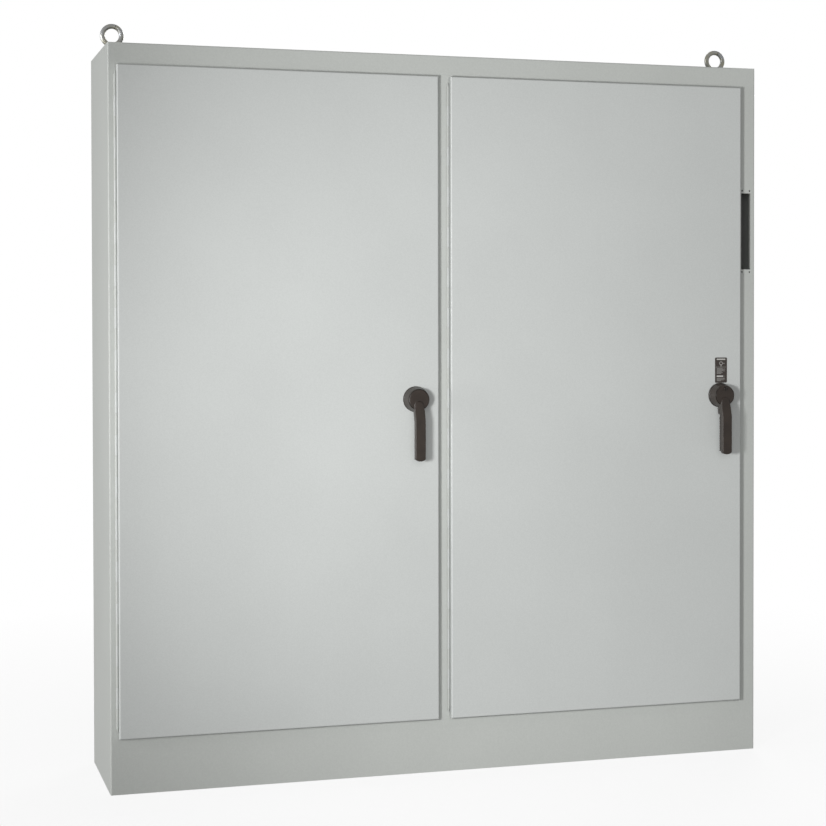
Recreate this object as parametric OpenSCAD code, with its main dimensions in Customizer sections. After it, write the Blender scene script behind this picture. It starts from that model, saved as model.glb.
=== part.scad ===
// Floor-standing automatic transfer switch: a two-door sheet-steel enclosure with a double-throw
// transfer switch, its service breaker, busbars and control gear on a full-width mounting panel.
// Frame: +X to the right as seen from the doors, +Y to the back, +Z up. The origin is on the floor,
// at the centre of the floor anchor holes and of the body's footprint. Millimetres.

/* [Enclosure body] */
// Overall width of the body
body_w = 1994; // [1990:1:2020]
// Overall height of the body, without the lifting eyes
body_h = 2137; // [2137:1:2200]
// Depth of the body, without the doors
body_d = 460; // [455:1:520]
// Thickness of the body's sheet steel
sheet = 2.7; // [2:0.1:3]
// Outer radius of the body's bent edges
bend_r = 4; // [3.5:0.5:6]

/* [Doors] */
// Width of each door
door_w = 938; // [930:1:938]
// Height of each door
door_h = 1911; // [1900:1:1911]
// Height of the doors' lower edge above the floor
door_bottom = 162; // [162:1:170]
// How far the doors' outer face stands in front of the body
door_stand = 25; // [25:1:27]
// Thickness of the doors' sheet steel
door_sheet = 2; // [1.5:0.1:2.2]
// Width of the body left of the left door
left_margin = 23; // [22:1:24]
// Gap between the two doors
door_gap = 38; // [36:1:40]
// How far each door laps over the edge of its opening
lap = 18; // [18:1:19]

/* [Handles and latches] */
// Distance of each handle's spindle from its door's free edge
spindle_inset = 72; // [70:1:75]
// Height of the handle spindles above the floor
spindle_z = 1117; // [1100:1:1130]
// Radius of the handle's base ring
hub_r = 38; // [36:0.5:40]
// Length of the handle below its spindle
handle_len = 181; // [175:1:185]
// Width of the grip
grip_w = 31; // [29:1:32]
// How far the front of the grip stands off the door
grip_reach = 62; // [61:1:64]
// Travel of the latch rods over a quarter turn of the handle
rod_travel = 32; // [32:0.5:33]

/* [Lifting eyes] */
// Distance of each lifting eye from the side of the body
eye_inset = 38; // [38:1:60]
// Outside diameter of the eye
eye_od = 69.4; // [62:0.2:72]
// Diameter of the eye's round bar
eye_bar = 14.3; // [12:0.1:15]
// Height of the eye's centre above the top
eye_rise = 49; // [47:1:52]

/* [Disconnect cut-out] */
// Width of the cut-out for a flange-mounted operator
cutout_w = 31.5; // [28:0.5:32]
// Height of the cut-out
cutout_h = 238; // [200:1:240]
// Height of the cut-out's centre above the floor
cutout_z = 1627.5; // [1600:0.5:1650]
// Distance of the cut-out's centre from the right side of the body
cutout_inset = 29.7; // [29:0.1:31]
// Screw spacing across the cut-out
cutout_screw_x = 25.4; // [25:0.1:26]
// Screw spacing along the cut-out
cutout_screw_z = 254; // [252:0.5:256]
// Diameter of the cut-out's screw holes
cutout_screw_d = 5.2; // [4.8:0.1:5.6]

/* [Floor anchors] */
// Spacing of the anchor holes across the width
anchor_x = 1828.8; // [1800:0.1:1840]
// Spacing of the anchor holes across the depth
anchor_y = 355.6; // [350:0.1:360]
// Diameter of the anchor holes
anchor_d = 14.3; // [13:0.1:15]

/* [Transfer switch] */
// Distance between neighbouring poles
pole_pitch = 150; // [150:1:152]
// Centre of the middle pole, across the width
switch_x = -500; // [-505:1:-495]
// Height of the main shaft above the floor
shaft_z = 940; // [935:1:945]
// Half of the angle between the normal and the emergency position
half_throw = 38; // [37:0.5:39]
// Length of a moving blade from the shaft's axis to its tip
blade_len = 130; // [128:1:132]
// Gear module of the drive
gear_module = 3; // [3]
// Teeth on a full turn of the sector gear
gear_teeth = 60; // [60]
// Teeth on the motor's pinion
pinion_teeth = 15; // [15]

/* [Copper] */
// Width of the busbars
bus_w = 40; // [38:1:42]
// Thickness of the busbars
bus_t = 8; // [8]
// Diameter of the holes for the cable connectors
pad_hole_d = 14.3; // [13:0.1:14.3]
// Spacing of the two connector holes in a pad
pad_pitch = 44.45; // [44:0.05:45]

/* [Service breaker] */
// Width of the breaker
breaker_w = 210; // [205:1:215]
// Height of the breaker
breaker_h = 330; // [325:1:335]
// Centre of the breaker, across the width
breaker_x = 560; // [550:1:570]
// Height of the breaker's lower end above the floor
breaker_z = 1500; // [1495:1:1505]
// Distance between the breaker's terminals
breaker_pitch = 70; // [70]

/* [Hidden] */
$fn = 48;

grey = "#b9bcb9";
zinc = "#c3c6c2";
dark_brown = "#3a342f";
copper = "#b8724a";
glastic = "#a8322a";
phenolic = "#2e2c2b";
panel_white = "#e8e8e2";

// Planes of the body and the doors
left_x = -body_w / 2;
right_x = body_w / 2;
front_y = -body_d / 2;
back_y = body_d / 2;
frame_back = front_y + sheet;
door_face = front_y - door_stand;
door_top = door_bottom + door_h;
left_door_x = left_x + left_margin;
right_door_x = left_door_x + door_w + door_gap;
door_inner = door_face + door_sheet;
door_rim = front_y - 3.2;
open_bottom = door_bottom + lap;
open_top = door_top - lap;
lip_y = front_y - 12;
left_open = [left_door_x + lap, left_door_x + door_w - lap];
right_open = [right_door_x + lap, right_door_x + door_w - lap];

// Hinge: a barrel beside each door's left edge
barrel_r = 3.4;
hinge_pin_r = 1.7;
barrel_x = -3.8;
barrel_y = front_y - 4.5;
knuckle = 60;
knuckle_gap = 0.4;

// Latch: the rods' pins swing 45 degrees either side of level
rod_offset = 19;
crank_r = rod_travel / sqrt(2);
cam_y = [frame_back + 3.3, frame_back + 7.3];
yoke_y = [frame_back + 11.3, frame_back + 15.3];
rod_y0 = frame_back + 13.3;
rod_r = 5;
roller_r = 10;
roller_y = frame_back + roller_r + 0.3;
roller_reach = -roller_r - 0.6;

// Mounting panel
panel_y = back_y - 40;
panel_t = 3;
panel_x = [-930, 930];
panel_z = [195, 2035];
stud_x = [-900, -300, 300, 900];
stud_z = [230, 2000];

// Transfer switch planes
shaft_y = 70;
pole_x = [for (i = [-1:1]) switch_x + i * pole_pitch];
pole_z = [shaft_z - 240, shaft_z + 240];
side_plate_x = [switch_x - 230, switch_x + 224];
fixed_y = 40;
load_y = 100;
blade_t = 8;
leaf_t = 4;
leaf_gap = 0.3;
gear_x = side_plate_x[0] - 30;
gear_dist = gear_module * (gear_teeth + pinion_teeth) / 2 + 0.15;
pinion_z = shaft_z - gear_dist;
motor_back = shaft_y + 46;
pressure_angle = 25;
backlash = 0.35;

// Busbar route: one level per phase
bus_level = [1430, 1360, 1290];
tab_y = fixed_y + 2 * bus_t;
breaker_poles = [for (i = [-1:1]) breaker_x + i * breaker_pitch];
normal_pad_top = 1250;

// ---- building blocks ----

module block(x, y, z) {
    translate([x[0], y[0], z[0]]) cube([x[1] - x[0], y[1] - y[0], z[1] - z[0]]);
}

module rod_x(x, y, z, r) {
    translate([x[0], y, z]) rotate([0, 90, 0]) cylinder(r = r, h = x[1] - x[0]);
}

module rod_y(x, y, z, r) {
    translate([x, y[1], z]) rotate([90, 0, 0]) cylinder(r = r, h = y[1] - y[0]);
}

module rod_z(x, y, z, r) {
    translate([x, y, z[0]]) cylinder(r = r, h = z[1] - z[0]);
}

// A flat shape drawn in [x, z] and given a thickness along Y
module front_view(y) {
    translate([0, y[1], 0]) rotate([90, 0, 0]) linear_extrude(y[1] - y[0]) children();
}

// A flat shape drawn in [y, z] and given a thickness along X
module side_view(x) {
    translate([x[0], 0, 0]) rotate([90, 0, 90]) linear_extrude(x[1] - x[0]) children();
}

module hex_y(x, y, z, across) {
    translate([x, y[1], z]) rotate([90, 0, 0])
        cylinder(d = across / cos(30), h = y[1] - y[0], $fn = 6);
}

module rect(x, y) {
    translate([x[0], y[0]]) square([x[1] - x[0], y[1] - y[0]]);
}

// Rounded rectangle, made of two bars and four true circles
module round_rect(x, y, r) {
    rect([x[0] + r, x[1] - r], y);
    rect(x, [y[0] + r, y[1] - r]);
    for (cx = [x[0] + r, x[1] - r], cy = [y[0] + r, y[1] - r]) translate([cx, cy]) circle(r);
}

// ---- enclosure body ----

// Plan of a side panel from its outer corner: side, front flange and rear flange
module side_plan(flange, rear) {
    difference() {
        union() {
            rect([0, sheet], [bend_r, body_d - bend_r]);
            rect([bend_r, flange], [0, sheet]);
            rect([bend_r, rear], [body_d - sheet, body_d]);
            for (y = [bend_r, body_d - bend_r]) translate([bend_r, y]) circle(bend_r);
        }
        for (y = [bend_r, body_d - bend_r]) translate([bend_r, y]) circle(bend_r - sheet);
        rect([bend_r, bend_r + bend_r], [sheet, body_d - sheet]);
        rect([sheet, bend_r + 0.01], [bend_r, body_d - bend_r]);
    }
}

module side_panel(flange) {
    translate([0, front_y, 0]) linear_extrude(body_h) side_plan(flange, 27);
    block([flange - sheet, flange], [lip_y, front_y + 0.5], [open_bottom, open_top]);
}

module left_side_panel() {
    color(grey) translate([left_x, 0, 0]) side_panel(left_open[0] - left_x);
}

module right_side_panel() {
    cx = right_x - cutout_inset;
    color(grey) difference() {
        translate([right_x, 0, 0]) mirror([1, 0, 0]) side_panel(right_x - right_open[1]);
        block([cx - cutout_w / 2, cx + cutout_w / 2], [front_y - 1, frame_back + 1],
            [cutout_z - cutout_h / 2, cutout_z + cutout_h / 2]);
        for (sx = [-0.5, 0.5], sz = [-0.5, 0.5])
            rod_y(cx + sx * cutout_screw_x, [front_y - 1, frame_back + 1],
                cutout_z + sz * cutout_screw_z, cutout_screw_d / 2);
    }
}

module top_panel() {
    color(grey) difference() {
        union() {
            block([left_x + sheet, right_x - sheet], [frame_back, back_y - sheet], [body_h - sheet, body_h]);
            block([left_open[0], right_open[1]], [front_y, frame_back], [open_top, body_h - bend_r]);
            block([left_open[0], right_open[1]], [front_y + bend_r, frame_back + bend_r],
                [body_h - sheet, body_h]);
            side_view([left_open[0], right_open[1]]) difference() {
                translate([front_y + bend_r, body_h - bend_r]) circle(bend_r);
                translate([front_y + bend_r, body_h - bend_r]) circle(bend_r - sheet);
                rect([frame_back, front_y + 2 * bend_r], [body_h - 2 * bend_r, body_h - bend_r]);
                rect([front_y + bend_r, front_y + 2 * bend_r], [body_h - bend_r, body_h - sheet]);
            }
            for (o = [left_open, right_open])
                block([o[0], o[1]], [lip_y, front_y + 0.5], [open_top, open_top + sheet]);
        }
        for (s = [-1, 1]) rod_z(s * (right_x - eye_inset), 0, [body_h - 5, body_h + 1], eye_bar / 2 + 0.2);
    }
}

module base_panel() {
    color(grey) difference() {
        union() {
            block([left_x + sheet, right_x - sheet], [frame_back, back_y - sheet], [0, sheet]);
            block([left_open[0], right_open[1]], [front_y, frame_back], [0, open_bottom]);
            for (o = [left_open, right_open])
                block([o[0], o[1]], [lip_y, front_y + 0.5], [open_bottom - sheet, open_bottom]);
        }
        for (sx = [-0.5, 0.5], sy = [-0.5, 0.5])
            rod_z(sx * anchor_x, sy * anchor_y, [-1, sheet + 1], anchor_d / 2);
    }
}

module back_panel() {
    color(grey) block([left_x + 27, right_x - 27], [back_y - sheet, back_y], [0, body_h]);
}

module centre_post() {
    mid = (left_open[1] + right_open[0]) / 2;
    color(grey) {
        block([left_open[1], right_open[0]], [front_y, frame_back], [open_bottom, open_top]);
        block([left_open[1], left_open[1] + sheet], [lip_y, front_y + 0.5], [open_bottom, open_top]);
        block([right_open[0] - sheet, right_open[0]], [lip_y, front_y + 0.5], [open_bottom, open_top]);
        // folded box rib behind the face, and a tab behind the header and the base
        block([mid - 9, mid + 13], [frame_back - 0.5, frame_back + 40], [open_bottom, open_top]);
        for (z = [[open_bottom - 30, open_bottom + 1], [open_top - 1, open_top + 30]])
            block([mid - 9, mid + 13], [frame_back, frame_back + sheet], z);
    }
}

module lifting_eyes() {
    eye_r = (eye_od - eye_bar) / 2;
    color(zinc) for (s = [-1, 1]) translate([s * (right_x - eye_inset), 0, body_h]) {
        difference() {
            union() {
                translate([0, 0, eye_rise]) rotate([90, 0, 0]) rotate_extrude()
                    translate([eye_r, 0]) circle(eye_bar / 2);
                cylinder(r1 = 13, r2 = 8, h = eye_rise - eye_r);
            }
            translate([0, 0, eye_rise]) rotate([90, 0, 0])
                cylinder(r = eye_r - eye_bar / 2, h = 40, center = true);
        }
        translate([0, 0, -30]) cylinder(r = eye_bar / 2, h = 30.5);
        translate([0, 0, -sheet - 11]) cylinder(d = 19 / cos(30), h = 11, $fn = 6);
    }
}

// ---- hinges ----

// One hinge leaf from the barrel's axis: every second knuckle, starting at the first one given
module hinge_leaf(first, plate_y) {
    count = floor((door_h - 40) / knuckle);
    z0 = door_bottom + (door_h - count * knuckle) / 2;
    difference() {
        union() {
            for (i = [first:2:count - 1])
                translate([0, barrel_y, z0 + i * knuckle + knuckle_gap / 2]) {
                    cylinder(r = barrel_r, h = knuckle - knuckle_gap);
                    translate([0, plate_y[0] - barrel_y, 0])
                        cube([barrel_r + 3, plate_y[1] - plate_y[0], knuckle - knuckle_gap]);
                }
            block([barrel_r + 1.2, -barrel_x + 13], plate_y, [z0, z0 + count * knuckle]);
        }
        rod_z(0, barrel_y, [door_bottom, door_top], hinge_pin_r + 0.05);
    }
}

module frame_hinge_leaves() {
    color(grey) for (x = [left_door_x, right_door_x])
        translate([x + barrel_x, 0, 0]) hinge_leaf(0, [front_y - 1.5, front_y]);
}

module door_hinge_leaf(x) {
    color(grey) translate([x + barrel_x, 0, 0]) hinge_leaf(1, [door_rim, door_rim + 1.4]);
}

module left_door_hinge_leaf() {
    door_hinge_leaf(left_door_x);
}

module right_door_hinge_leaf() {
    door_hinge_leaf(right_door_x);
}

module hinge_pins() {
    color(zinc) for (x = [left_door_x, right_door_x])
        rod_z(x + barrel_x, barrel_y, [door_bottom + 18, door_top - 18], hinge_pin_r);
}

// ---- doors ----

// A folded pan: skin, four sides and an inward rim
module door_pan(x) {
    rim = 11;
    spindle = x + door_w - spindle_inset;
    color(grey) difference() {
        intersection() {
            translate([0, 0, door_bottom]) linear_extrude(door_h) {
                rect([x, x + door_w], [door_face + bend_r, door_rim]);
                rect([x + bend_r, x + door_w - bend_r], [door_face, door_face + bend_r + 1]);
                for (cx = [x + bend_r, x + door_w - bend_r])
                    translate([cx, door_face + bend_r]) circle(bend_r);
            }
            side_view([x - 1, x + door_w + 1]) {
                rect([door_face + bend_r, door_rim + 1], [door_bottom, door_top]);
                rect([door_face - 1, door_face + bend_r + 1], [door_bottom + bend_r, door_top - bend_r]);
                for (z = [door_bottom + bend_r, door_top - bend_r])
                    translate([door_face + bend_r, z]) circle(bend_r);
            }
        }
        block([x + door_sheet, x + door_w - door_sheet], [door_inner, door_rim - door_sheet],
            [door_bottom + door_sheet, door_top - door_sheet]);
        block([x + rim, x + door_w - rim], [door_rim - door_sheet - 1, door_rim + 1],
            [door_bottom + rim, door_top - rim]);
        rod_y(spindle, [door_face - 1, door_inner + 1], spindle_z, 8.3);
    }
}

module left_door() {
    door_pan(left_door_x);
}

module right_door() {
    door_pan(right_door_x);
}

// Foam strip that closes on the lip around the opening
module door_gasket(x) {
    color("#2b2b2b") front_view([door_inner, lip_y - 0.4]) difference() {
        rect([x + lap - 8, x + door_w - lap + 8], [door_bottom + lap - 8, door_top - lap + 8]);
        rect([x + lap + 5, x + door_w - lap - 5], [door_bottom + lap + 5, door_top - lap - 5]);
    }
}

module left_door_gasket() {
    door_gasket(left_door_x);
}

module right_door_gasket() {
    door_gasket(right_door_x);
}

// One latch rod guide: a folded bracket with a clearance hole
module rod_guide(x, z) {
    difference() {
        union() {
            block([x - 12, x + 12], [door_inner, rod_y0 + rod_r + 6], [z, z + 3]);
            block([x - 12, x + 12], [door_inner, door_inner + 3], [z, z + 25]);
        }
        rod_z(x, rod_y0, [z - 1, z + 4], rod_r + 0.3);
    }
}

// Two hat-section stiffeners and the four rod guides
module door_stiffeners(x) {
    spindle = x + door_w - spindle_inset;
    color(grey) {
        for (sx = [x + 130, x + 560]) difference() {
            block([sx, sx + 60], [door_inner, door_inner + 15], [door_bottom + 70, door_top - 70]);
            block([sx + 12, sx + 48], [door_inner - 1, door_inner + 13], [door_bottom + 69, door_top - 69]);
        }
        for (z = [spindle_z + 260, open_top - 80]) rod_guide(spindle + rod_offset, z);
        for (z = [spindle_z - 260, open_bottom + 77]) rod_guide(spindle - rod_offset, z);
    }
}

module left_door_stiffeners() {
    door_stiffeners(left_door_x);
}

module right_door_stiffeners() {
    door_stiffeners(right_door_x);
}

// Open-topped tray for the drawings, inside the left door
module document_pocket() {
    x = [left_door_x + 230, left_door_x + 530];
    y = [door_inner, door_inner + 32];
    z = [760, 980];
    t = 1.5;
    color(grey) difference() {
        block(x, y, z);
        block([x[0] + t, x[1] - t], [y[0] + t, y[1] - t], [z[0] + t, z[1] + 1]);
        block([x[0] + 60, x[1] - 60], [y[1] - t - 1, y[1] + 1], [z[1] - 50, z[1] + 1]);
    }
}

// ---- handles ----

handle_base_t = 8;
handle_gap = 0.4;
hub_front = 44;

module handle_base(x) {
    color(dark_brown) difference() {
        translate([x, door_face, spindle_z]) rotate([90, 0, 0]) rotate_extrude()
            polygon([[8.3, 0], [hub_r, 0], [hub_r, handle_base_t - 2], [hub_r - 2, handle_base_t],
                [8.3, handle_base_t]]);
    }
}

// Hub, sloping arm and upright grip in one casting. The arm and grip are the overlap of a side
// outline, drawn as [stand-off, drop], and a front outline.
module handle_casting(x) {
    tip = -handle_len;
    translate([x, door_face, spindle_z]) {
        rotate([90, 0, 0]) rotate_extrude()
            polygon([[0, handle_base_t + handle_gap], [hub_r - 1, handle_base_t + handle_gap],
                [31.5, hub_front - 2], [29.5, hub_front], [0, hub_front]]);
        intersection() {
            side_view([-30, 30]) polygon([for (p = [[hub_front - 4, -3], [hub_front + 2, -5],
                [grip_reach, -63], [grip_reach, tip], [grip_reach - 17, tip], [grip_reach - 17, -66],
                [hub_front - 16, -24], [hub_front - 16, -3]]) [-p[0], p[1]]]);
            front_view([-grip_reach - 5, 0]) {
                polygon([[-12.5, -17], [12.5, -17], [15.2, -34], [grip_w / 2, -76], [grip_w / 2, tip + 7],
                    [-grip_w / 2, tip + 7], [-grip_w / 2, -76], [-15.2, -34]]);
                translate([0, -17]) circle(12.5);
                intersection() {
                    rect([-grip_w / 2, grip_w / 2], [tip, tip + 8]);
                    translate([0, tip + 22]) circle(22);
                }
            }
        }
    }
}

module left_handle_base() {
    handle_base(left_door_x + door_w - spindle_inset);
}

module right_handle_base() {
    handle_base(right_door_x + door_w - spindle_inset);
}

module left_handle() {
    color(dark_brown) handle_casting(left_door_x + door_w - spindle_inset);
}

screw_pos = [3, 21];
screw_r = 6;

// Pivot of the right handle's trigger, as [stand-off, rise]
trigger_pivot = [24, -44];

// The same casting, with the interlock screw's well and two ears for the trigger's pin
module right_handle() {
    x = right_door_x + door_w - spindle_inset;
    color(dark_brown) difference() {
        union() {
            handle_casting(x);
            translate([x, door_face, spindle_z]) for (ex = [[-12.4, -9], [9, 12.4]])
                side_view(ex)
                    polygon([[-17, -20], [-38, -20], [-38, -50], [-31, -58], [-19, -58], [-16, -50]]);
        }
        rod_y(x + screw_pos[0], [door_face - hub_front - 1, door_face - hub_front + 6],
            spindle_z + screw_pos[1], screw_r + 0.2);
        rod_x([x - 16, x + 16], door_face - trigger_pivot[0], spindle_z + trigger_pivot[1], 3.05);
    }
}

// Ribbed release lever behind the right grip
module right_handle_trigger() {
    x = right_door_x + door_w - spindle_inset;
    color(dark_brown) translate([x, door_face, spindle_z]) {
        difference() {
            union() {
                side_view([-8.6, 8.6]) polygon([for (p = [[20, -41], [28, -41], [36, -66], [36, -90],
                    [24, -90], [24, -70], [19, -52]]) [-p[0], p[1]]]);
                side_view([-11, 11]) polygon([for (p = [[35, -66], [36, -70], [36, -172],
                    [24, -172], [24, -70], [25, -66]]) [-p[0], p[1]]]);
            }
            for (i = [0:12]) rod_x([-11.4, 11.4], -22.8, -77 - 7.5 * i, 3.4);
        }
        rod_x([-12.2, 12.2], -trigger_pivot[0], trigger_pivot[1], 3);
    }
}

module interlock_screw() {
    x = right_door_x + door_w - spindle_inset + screw_pos[0];
    z = spindle_z + screw_pos[1];
    color(zinc) difference() {
        rod_y(x, [door_face - hub_front - 1, door_face - hub_front + 5.5], z, screw_r);
        block([x - 0.8, x + 0.8], [door_face - hub_front - 2, door_face - hub_front + 1], [z - 7, z + 7]);
    }
}

module instruction_plate() {
    x = right_door_x + door_w - spindle_inset;
    color("#4a4744") front_view([door_face - 1, door_face])
        round_rect([x - 15.5, x + 24.5], [spindle_z + 38.2, spindle_z + 116.7], 3.5);
}

// Spindle, cam plate with a locking tongue, and the two rod pins
module latch_cam(x) {
    color(zinc) {
        rod_y(x, [door_face - handle_base_t - handle_gap, yoke_y[1] + 5], spindle_z, 8);
        front_view(cam_y) translate([x, spindle_z]) {
            circle(30);
            rect([0, 42], [-11, 11]);
            translate([42, 0]) circle(11);
        }
        for (s = [-1, 1]) {
            rod_y(x + s * rod_travel / 2, [cam_y[0], yoke_y[1] + 4], spindle_z + s * rod_travel / 2, 4);
            rod_y(x + s * rod_travel / 2, [yoke_y[1] + 0.4, yoke_y[1] + 4],
                spindle_z + s * rod_travel / 2, 6);
        }
    }
}

module left_latch_cam() {
    latch_cam(left_door_x + door_w - spindle_inset);
}

module right_latch_cam() {
    latch_cam(right_door_x + door_w - spindle_inset);
}

// A latch rod, drawn pointing up from its yoke at the spindle's height: s = 1 up, s = -1 down
module latch_rod(x, s) {
    pin = rod_travel / 2;
    reach = s > 0 ? open_top + roller_reach - spindle_z : spindle_z - open_bottom + roller_reach;
    color(zinc) translate([x, 0, spindle_z]) mirror([s > 0 ? 0 : 1, 0, 0]) mirror([0, 0, s > 0 ? 0 : 1])
        difference() {
            union() {
                block([9, 31], yoke_y, [pin - 11, pin + 34]);
                rod_z(rod_offset, rod_y0, [pin + 20, reach - 18], rod_r);
                for (sx = [-1, 1]) block([rod_offset + sx * 5.8 - 1.5, rod_offset + sx * 5.8 + 1.5],
                    [roller_y - 6, roller_y + 6], [reach - 24, reach + 6]);
                block([rod_offset - 7.3, rod_offset + 7.3], [roller_y - 6, roller_y + 6],
                    [reach - 24, reach - 14]);
                rod_x([rod_offset - 9, rod_offset + 9], roller_y, reach, 3);
            }
            front_view([yoke_y[0] - 1, yoke_y[1] + 1])
                round_rect([11.2, 27.4], [pin - 4.95, pin + 4.95], 4.9);
        }
}

module left_upper_latch_rod() {
    latch_rod(left_door_x + door_w - spindle_inset, 1);
}

module left_lower_latch_rod() {
    latch_rod(left_door_x + door_w - spindle_inset, -1);
}

module right_upper_latch_rod() {
    latch_rod(right_door_x + door_w - spindle_inset, 1);
}

module right_lower_latch_rod() {
    latch_rod(right_door_x + door_w - spindle_inset, -1);
}

module latch_roller(x, s) {
    z = s > 0 ? open_top + roller_reach : open_bottom - roller_reach;
    color("#e4e2d8") difference() {
        rod_x([x + s * rod_offset - 4, x + s * rod_offset + 4], roller_y, z, roller_r);
        rod_x([x + s * rod_offset - 5, x + s * rod_offset + 5], roller_y, z, 3.05);
    }
}

module left_upper_roller() {
    latch_roller(left_door_x + door_w - spindle_inset, 1);
}

module left_lower_roller() {
    latch_roller(left_door_x + door_w - spindle_inset, -1);
}

module right_upper_roller() {
    latch_roller(right_door_x + door_w - spindle_inset, 1);
}

module right_lower_roller() {
    latch_roller(right_door_x + door_w - spindle_inset, -1);
}

// ---- mounting panel ----

module mounting_panel() {
    fold = 18;
    color(panel_white) difference() {
        union() {
            block(panel_x, [panel_y, panel_y + panel_t], panel_z);
            for (x = [[panel_x[0], panel_x[0] + panel_t], [panel_x[1] - panel_t, panel_x[1]]])
                block(x, [panel_y, panel_y + fold], panel_z);
        }
        for (x = stud_x, z = stud_z) rod_y(x, [panel_y - 1, panel_y + panel_t + 1], z, 5.2);
    }
}

// Collar studs welded to the back, each with a nut and washer
module panel_studs() {
    color(zinc) for (x = stud_x, z = stud_z) {
        rod_y(x, [panel_y + panel_t, back_y - sheet], z, 9);
        rod_y(x, [panel_y - 16, panel_y + panel_t + 1], z, 5);
        rod_y(x, [panel_y - 2, panel_y], z, 12);
        hex_y(x, [panel_y - 10, panel_y - 2], z, 17);
    }
}

// ---- transfer switch ----

// Two side plates joined by a back channel
module switch_frame() {
    plate = 6;
    color("#8f9599") difference() {
        union() {
            for (x = side_plate_x)
                block([x, x + plate], [-25, panel_y - 10], [pole_z[0] - 10, pole_z[1] + 10]);
            for (z = [[pole_z[0] + 20, pole_z[0] + 90], [pole_z[1] - 90, pole_z[1] - 20]])
                block([side_plate_x[0] - 25, side_plate_x[1] + 31], [panel_y - 10, panel_y], z);
            // motor bracket
            block([side_plate_x[0] - 100, side_plate_x[0] + 1], [motor_back, motor_back + 6],
                [pinion_z - 60, pinion_z + 10]);
        }
        for (x = side_plate_x) rod_x([x - 1, x + plate + 1], shaft_y, shaft_z, 22);
    }
}

// Bronze flanged bushes for the main shaft
module shaft_bearings() {
    color("#9a7a3c") for (x = side_plate_x) difference() {
        union() {
            rod_x([x - 1, x + 7], shaft_y, shaft_z, 22);
            rod_x([x + 6, x + 9], shaft_y, shaft_z, 28);
        }
        rod_x([x - 2, x + 10], shaft_y, shaft_z, 14.05);
    }
}

// Moulded pole: back block and two phase barriers
module pole_base(x) {
    difference() {
        union() {
            block([x - 55, x + 55], [150, panel_y - 10], pole_z);
            for (s = [-1, 1]) block([x + s * 52.5 - 2.5, x + s * 52.5 + 2.5], [-12, 151], pole_z);
            for (z = [shaft_z - 205, shaft_z + 175])
                block([x - 30, x + 30], [fixed_y + bus_t, 151], [z, z + 30]);
        }
        rod_x([x - 60, x + 60], shaft_y, shaft_z, 20);
        for (z = [shaft_z - 205]) block([x - bus_w / 2 - 1, x + bus_w / 2 + 1],
            [load_y - 1, load_y + bus_t + 1], [z - 1, z + 31]);
    }
}

module pole_bases() {
    color(phenolic) for (x = pole_x) pole_base(x);
}

// Vented arc chute over one contact jaw: s = 1 above the shaft, s = -1 below
module arc_chute(x, s) {
    translate([x, 0, shaft_z]) mirror([0, 0, s > 0 ? 0 : 1]) difference() {
        block([-50, 50], [-78, 32], [50, 195]);
        block([-44, 44], [-73, 33], [49, 190]);
        for (i = [0:6]) block([-36, 36], [-79, -72], [75 + 15 * i, 81 + 15 * i]);
        for (i = [0:5]) block([-34 + 12 * i, -28 + 12 * i], [-62, 22], [189, 196]);
    }
}

module arc_chutes() {
    color("#b9b2a0") for (x = pole_x, s = [-1, 1]) arc_chute(x, s);
}

// Square insulated shaft with a round steel journal at each end
module main_shaft() {
    color(glastic) block([side_plate_x[0] + 10, side_plate_x[1] - 4], [shaft_y - 12, shaft_y + 12],
        [shaft_z - 12, shaft_z + 12]);
    color(zinc) rod_x([side_plate_x[0] - 45, side_plate_x[0] + 11], shaft_y, shaft_z, 14);
    color(zinc) rod_x([side_plate_x[1] - 5, side_plate_x[1] + 50], shaft_y, shaft_z, 14);
}

// Blade outline in [y, z], pointing along -Y from the shaft and raised by the half throw
module blade_outline() {
    translate([shaft_y, shaft_z]) rotate([0, 0, -half_throw]) {
        rect([-blade_len + 12, 0], [-12, 12]);
        translate([-blade_len + 12, 0]) circle(12);
    }
}

module moving_blades() {
    color(copper) for (x = pole_x) difference() {
        union() {
            side_view([x - blade_t / 2, x + blade_t / 2]) blade_outline();
            rod_x([x - 12, x + 12], shaft_y, shaft_z, 24);
        }
        block([x - 13, x + 13], [shaft_y - 12, shaft_y + 12], [shaft_z - 12, shaft_z + 12]);
    }
}

// Involute tooth, as [half angle, radius] worked out from the roll of the base circle
function roll(r, base) = r > base ? sqrt(r * r / base / base - 1) : 0;
function spread(r, base) = roll(r, base) * 180 / PI - atan(roll(r, base));
function half_tooth(teeth, r) =
    let (pitch = gear_module * teeth / 2, base = pitch * cos(pressure_angle))
    90 / teeth - backlash / pitch * 90 / PI + spread(pitch, base) - spread(r, base);
function polar(r, a) = [r * cos(a), r * sin(a)];
function tooth(teeth, a) =
    let (pitch = gear_module * teeth / 2, base = pitch * cos(pressure_angle),
        root = pitch - 1.25 * gear_module, tip = pitch + 0.95 * gear_module,
        low = max(base, root), radii = [for (i = [0:4]) low + (tip - low) * i / 4])
    concat([polar(root, a - half_tooth(teeth, low) - 0.2)],
        [for (r = radii) polar(r, a - half_tooth(teeth, r))],
        [for (i = [4:-1:0]) polar(radii[i], a + half_tooth(teeth, radii[i]))],
        [polar(root, a + half_tooth(teeth, low) + 0.2)]);

// The sector's teeth run from the one behind the pinion at rest to the one it ends on
module sector_gear() {
    step = 360 / gear_teeth;
    teeth = [for (i = [0:18]) each tooth(gear_teeth, -90 - step / 2 - 15 * step + i * step)];
    color("#777b7e") difference() {
        union() {
            side_view([gear_x, gear_x + 12]) translate([shaft_y, shaft_z])
                polygon(concat([polar(20, -60), polar(20, -200)], teeth));
            rod_x([gear_x, gear_x + 24], shaft_y, shaft_z, 26);
        }
        rod_x([gear_x - 1, gear_x + 25], shaft_y, shaft_z, 14);
    }
}

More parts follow.
